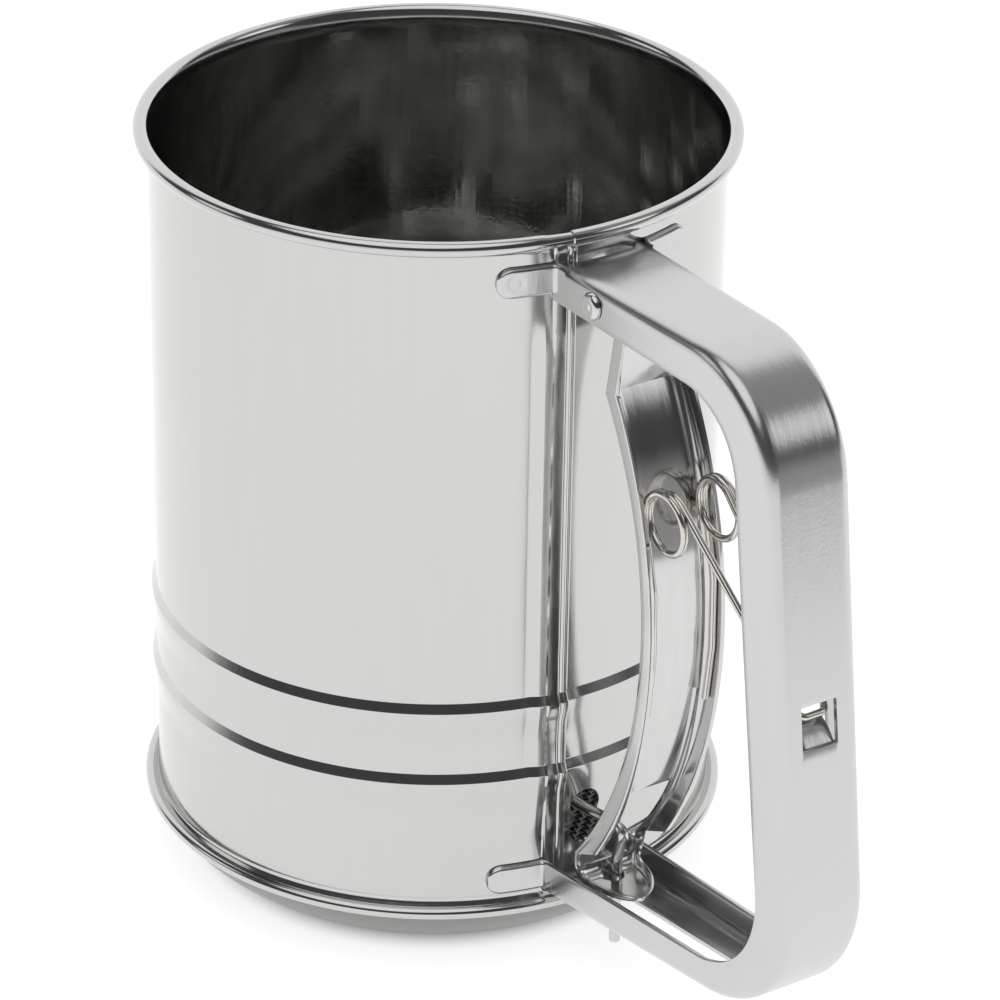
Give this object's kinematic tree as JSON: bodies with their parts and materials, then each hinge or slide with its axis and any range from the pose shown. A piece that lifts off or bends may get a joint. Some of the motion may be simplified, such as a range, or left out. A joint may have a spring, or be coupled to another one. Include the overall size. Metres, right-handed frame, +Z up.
{
  "type": "flour sifter",
  "caption": "Squeeze-handle metal flour sifter: beaded cylinder, channel handle, sprung trigger and a driven agitator over a round screen.",
  "frame": {"origin": "on the body axis, at the plane that the base ring stands on", "axes": "+Z up along the body axis, +X from the body axis towards the handle"},
  "size_m": [0.1709, 0.105, 0.1405],
  "materials": {
    "polished_steel": "polished, with faint vertical streaks",
    "satin_steel": "satin, brushed",
    "trigger_steel": "bright, with fine scratches",
    "steel_wire": "drawn wire, bright",
    "spring_steel": "nickel plated",
    "woven_wire": "woven wire cloth"
  },
  "bodies": {
    "frame": {"body_shell": "polished_steel", "base_ring": "polished_steel", "screen_mesh": "woven_wire", "screen_hoop": "steel_wire", "support_strap": "polished_steel", "agitator_rivet": "steel_wire", "lower_washer": "steel_wire", "upper_washer": "steel_wire", "handle": "satin_steel", "trigger_rivet": "satin_steel", "return_spring": "spring_steel"},
    "trigger": {"trigger_lever": "trigger_steel"},
    "link": {"drive_wire": "steel_wire"},
    "agitator": {"agitator_blade_lower": "polished_steel", "agitator_blade_upper": "polished_steel", "hub_sleeve": "polished_steel", "crank_arm": "polished_steel"}
  },
  "joints": [
    {"name": "trigger_pivot", "type": "hinge", "parent": "frame", "child": "trigger", "pos_m": [0.0605, 0, 0.1315], "axis": [0, -1, 0], "range_deg": [0, 16], "stiffness_Nm_per_rad": 1.2, "springref_deg": -11.46, "deforming": ["return_spring"]},
    {"name": "wire_slide", "type": "slide", "parent": "frame", "child": "link", "axis": [1, 0, 0], "range_m": [0, 0.0314]},
    {"name": "agitator_swing", "type": "hinge", "parent": "frame", "child": "agitator", "pos_m": [0, 0, 0.01], "axis": [0, 0, -1], "range_deg": [0, 53]}
  ],
  "couplings": [
    {"joint": "wire_slide", "follows": "trigger_pivot", "m_per_rad": 0.1117},
    {"joint": "agitator_swing", "follows": "trigger_pivot", "ratio": 3.3}
  ]
}
